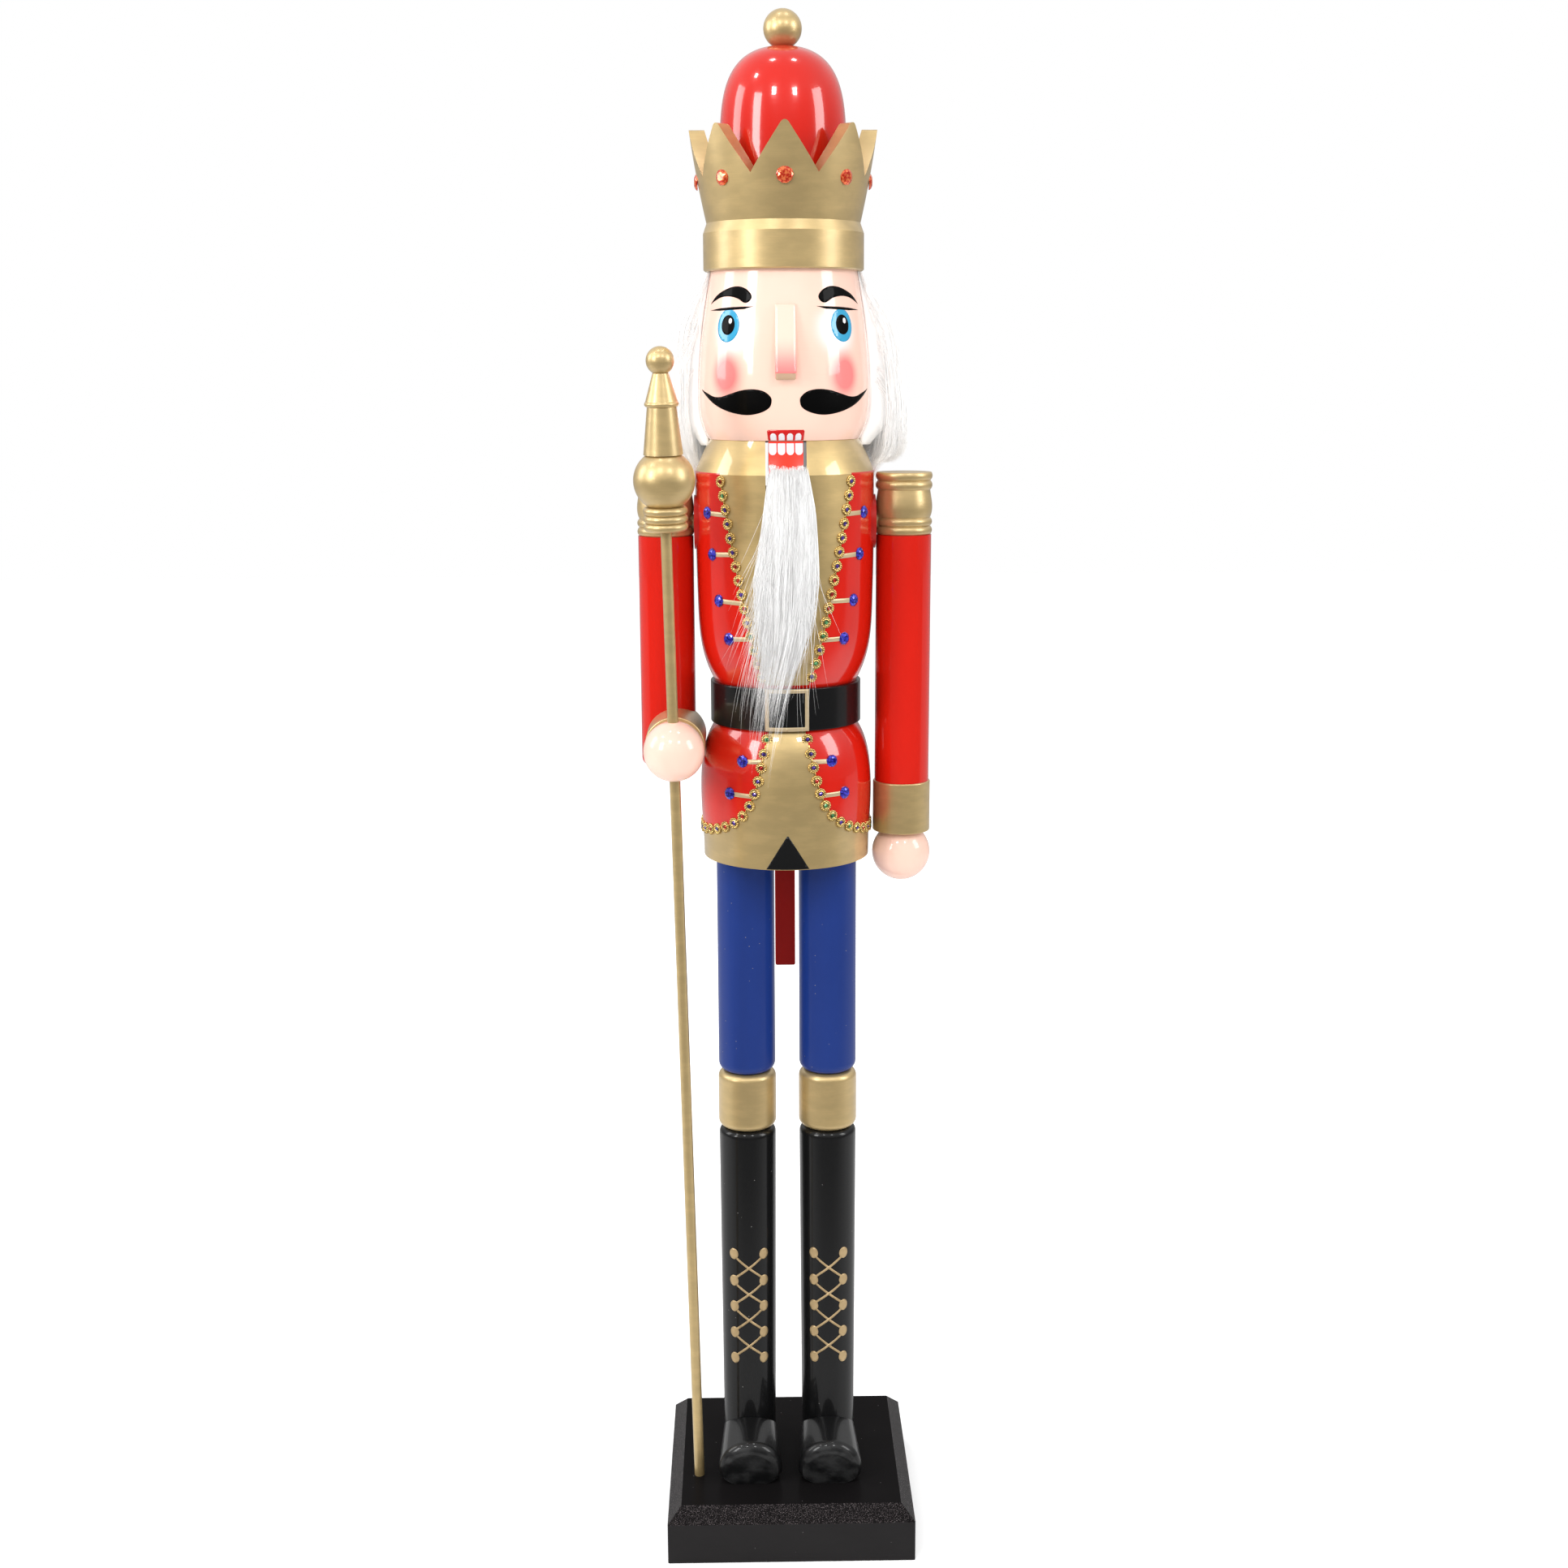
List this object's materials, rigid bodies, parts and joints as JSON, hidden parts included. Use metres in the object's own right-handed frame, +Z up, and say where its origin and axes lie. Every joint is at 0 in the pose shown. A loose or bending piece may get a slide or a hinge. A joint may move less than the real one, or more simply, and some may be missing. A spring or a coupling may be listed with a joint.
{
  "type": "nutcracker figure",
  "caption": "Tall painted wooden nutcracker king with crown, sceptre, fur hair and beard, and a lever that opens its jaw, on a square base.",
  "frame": {"origin": "centre of the base block's underside", "axes": "+Z up through the figure's turning axis, -Y the way the figure faces, +X towards its left hand"},
  "size_m": [0.2316, 0.2165, 1.22],
  "materials": {
    "red_paint": "gloss",
    "gold_paint": "satin",
    "flesh_paint": "gloss",
    "blue_paint": "gloss",
    "black_paint": "gloss",
    "black_base_paint": "satin",
    "dark_red_paint": "satin",
    "bare_wood": "matte",
    "steel": "satin",
    "white_fur": "matte",
    "gilt_trim": "polished",
    "blue_stone": "polished",
    "red_stone": "polished"
  },
  "bodies": {
    "figure": {"base_block": "black_base_paint", "belt_disc": "black_paint", "cap_dome": "red_paint", "cap_dowel": "bare_wood", "chest_trim_left": "gilt_trim", "chest_trim_right": "gilt_trim", "coat_buttons": "blue_stone", "coat_skirt": "red_paint", "crown_band": "gold_paint", "crown_cup": "gold_paint", "crown_gems": "red_stone", "finial_ball": "gold_paint", "finial_dowel": "bare_wood", "hair": "white_fur", "head": "flesh_paint", "hip_dowels": "bare_wood", "jaw_pivot_pin": "steel", "knee_dowels": "bare_wood", "left_boot": "black_paint", "left_knee_band": "gold_paint", "left_shoe": "black_paint", "left_shoulder_disc": "red_paint", "left_thigh": "blue_paint", "leg_screws": "steel", "neck_dowels": "bare_wood", "nose": "flesh_paint", "nose_dowel": "bare_wood", "right_boot": "black_paint", "right_knee_band": "gold_paint", "right_shoe": "black_paint", "right_shoulder_disc": "red_paint", "right_thigh": "blue_paint", "shoe_dowels": "bare_wood", "shoulder_dowels": "bare_wood", "skirt_buttons": "blue_stone", "skirt_trim_left": "gilt_trim", "skirt_trim_right": "gilt_trim", "torso": "red_paint", "waist_dowel": "bare_wood"},
    "jaw": {"jaw_block": "red_paint", "lever_handle": "dark_red_paint", "lever_screws": "steel", "beard": "white_fur"},
    "left_arm": {"left_epaulette": "gold_paint", "left_sleeve": "red_paint", "left_cuff": "gold_paint", "left_hand": "flesh_paint", "left_arm_dowels": "bare_wood"},
    "right_arm": {"right_epaulette": "gold_paint", "right_upper_arm": "red_paint", "right_cuff": "gold_paint", "right_hand": "flesh_paint", "right_arm_dowels": "bare_wood"},
    "sceptre": {"sceptre_rod": "gold_paint", "sceptre_collar": "gold_paint", "sceptre_ball": "gold_paint", "sceptre_taper": "gold_paint", "sceptre_cone": "gold_paint", "sceptre_finial": "gold_paint"}
  },
  "joints": [
    {"name": "jaw_hinge", "type": "hinge", "parent": "figure", "child": "jaw", "pos_m": [0, 0, 0.862], "axis": [1, 0, 0], "range_deg": [0, 16], "deforming": ["beard"]},
    {"name": "left_shoulder", "type": "hinge", "parent": "figure", "child": "left_arm", "pos_m": [0.0934, 0, 0.838], "axis": [-1, 0, 0], "range_deg": [-15, 90]},
    {"name": "right_shoulder", "type": "hinge", "parent": "figure", "child": "right_arm", "pos_m": [-0.0934, 0, 0.838], "axis": [-1, 0, 0], "range_deg": [0, 25]},
    {"name": "sceptre_lift", "type": "slide", "parent": "right_arm", "child": "sceptre", "axis": [-0.0173, -0.0614, 0.998], "range_m": [0, 0.66]}
  ]
}
